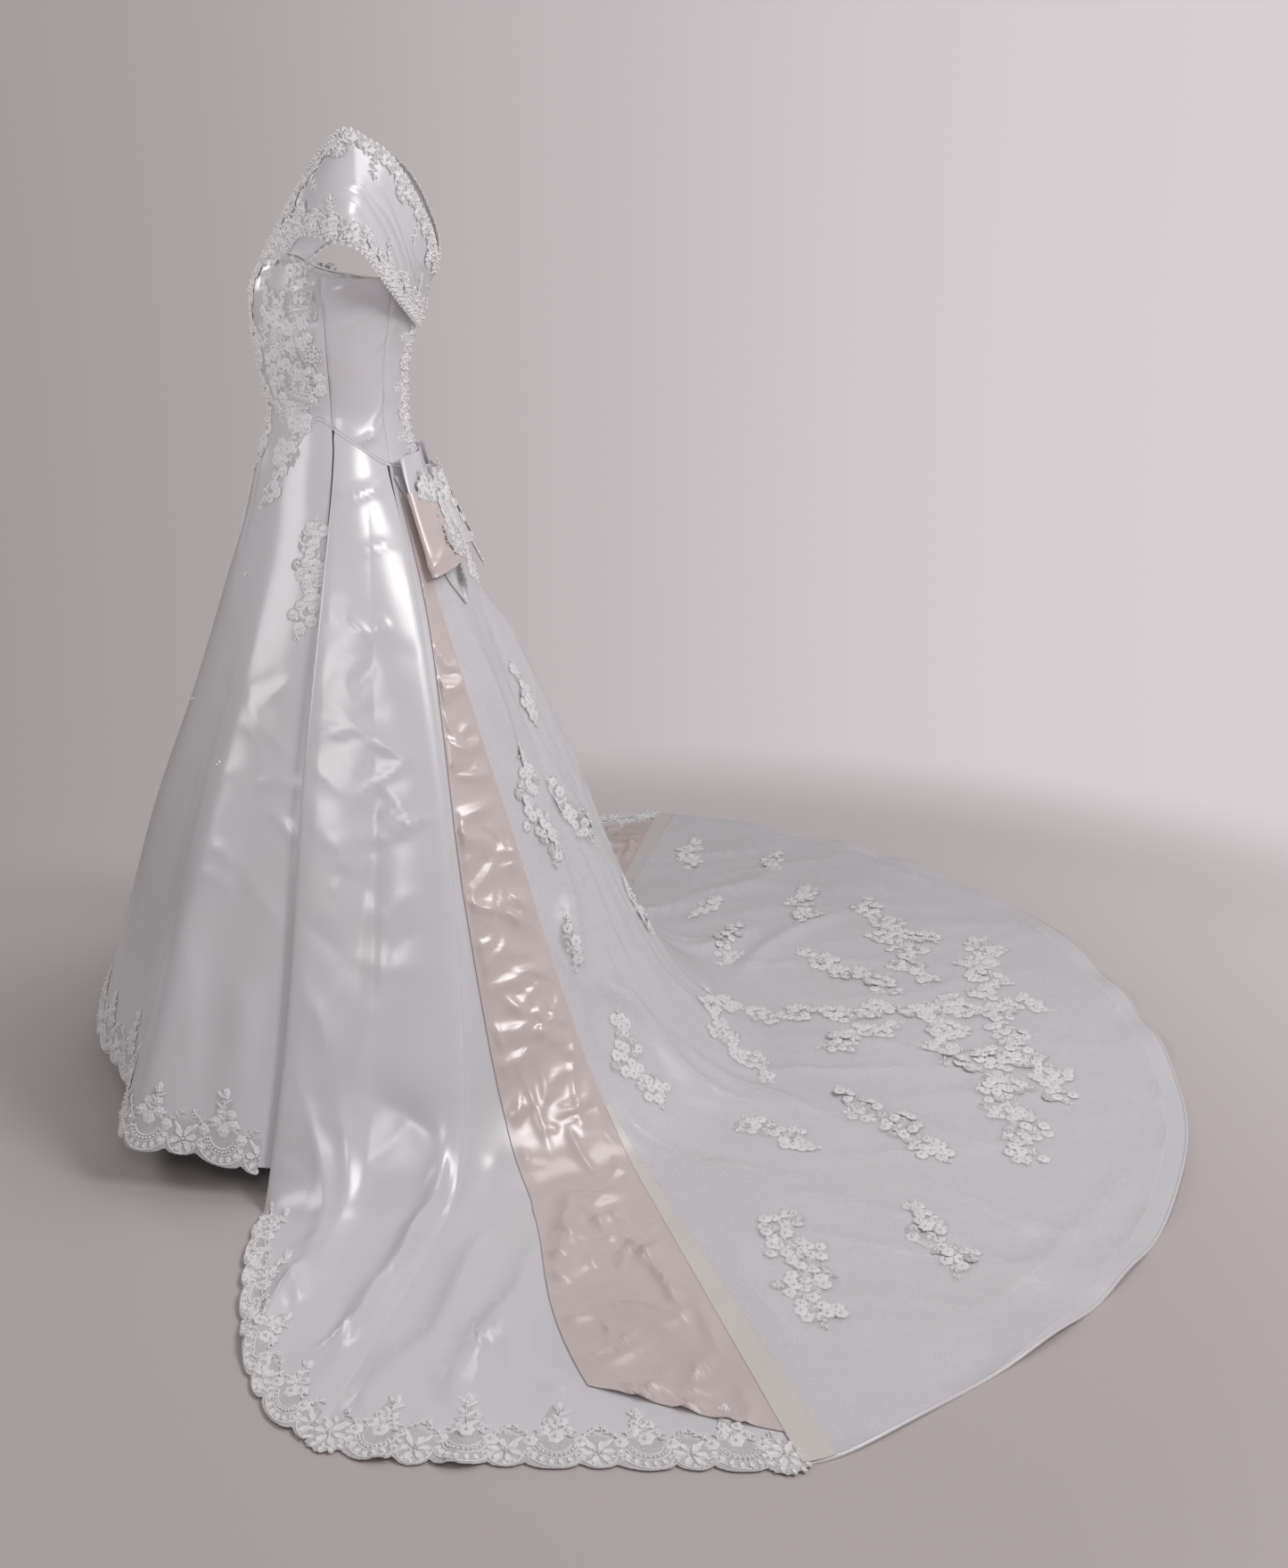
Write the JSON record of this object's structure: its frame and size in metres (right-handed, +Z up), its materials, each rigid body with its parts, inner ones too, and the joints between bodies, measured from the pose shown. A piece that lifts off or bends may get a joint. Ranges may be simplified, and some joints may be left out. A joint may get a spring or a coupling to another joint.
{
  "type": "wedding dress",
  "caption": "Worn satin wedding gown with off-the-shoulder cap sleeves, basque waist, back bow, blush side panels, beaded lace and a long tulle-covered train",
  "frame": {"origin": "Middle of the waist, where the wearer carries the dress; the floor is 1.06 m below it.", "axes": "+Z up, the front faces -Y, the train lies toward +Y, +X is the wearer's left and the mirror direction."},
  "size_m": [2.1984, 1.815, 1.4478],
  "materials": {
    "white_satin": "satin",
    "blush_satin": "satin",
    "cream_satin": "satin",
    "tulle": "sheer net",
    "beaded_lace": "corded lace with beads",
    "satin_button": "satin"
  },
  "bodies": {
    "root": {"blush_panel_left": "blush_satin", "blush_panel_right": "blush_satin", "bodice_applique_left": "beaded_lace", "bodice_applique_right": "beaded_lace", "bodice_back_left": "white_satin", "bodice_back_right": "white_satin", "bodice_front": "white_satin", "bodice_side_back_left": "white_satin", "bodice_side_back_right": "white_satin", "bodice_side_front_left": "white_satin", "bodice_side_front_right": "white_satin", "bow_knot": "white_satin", "bow_loop_left": "blush_satin", "bow_loop_right": "blush_satin", "bow_tail_left": "white_satin", "bow_tail_right": "white_satin", "button_01": "satin_button", "button_02": "satin_button", "button_03": "satin_button", "button_04": "satin_button", "button_05": "satin_button", "button_06": "satin_button", "button_07": "satin_button", "button_08": "satin_button", "button_09": "satin_button", "button_10": "satin_button", "button_11": "satin_button", "button_12": "satin_button", "button_13": "satin_button", "button_14": "satin_button", "button_15": "satin_button", "button_16": "satin_button", "button_17": "satin_button", "button_18": "satin_button", "button_19": "satin_button", "button_20": "satin_button", "hem_lace_front": "beaded_lace", "hem_lace_side_back_left": "beaded_lace", "hem_lace_side_back_right": "beaded_lace", "hem_lace_side_left": "beaded_lace", "hem_lace_side_right": "beaded_lace", "neckline_lace": "beaded_lace", "skirt_applique_left": "beaded_lace", "skirt_applique_right": "beaded_lace", "skirt_front": "white_satin", "skirt_side_back_left": "white_satin", "skirt_side_back_right": "white_satin", "skirt_side_left": "white_satin", "skirt_side_right": "white_satin", "sleeve_hem_lace_left": "beaded_lace", "sleeve_hem_lace_right": "beaded_lace", "sleeve_left": "white_satin", "sleeve_neck_lace_left": "beaded_lace", "sleeve_neck_lace_right": "beaded_lace", "sleeve_right": "white_satin", "train": "white_satin", "train_applique": "beaded_lace", "tulle_binding_left": "cream_satin", "tulle_binding_right": "cream_satin", "tulle_overlay": "tulle"}
  },
  "joints": []
}
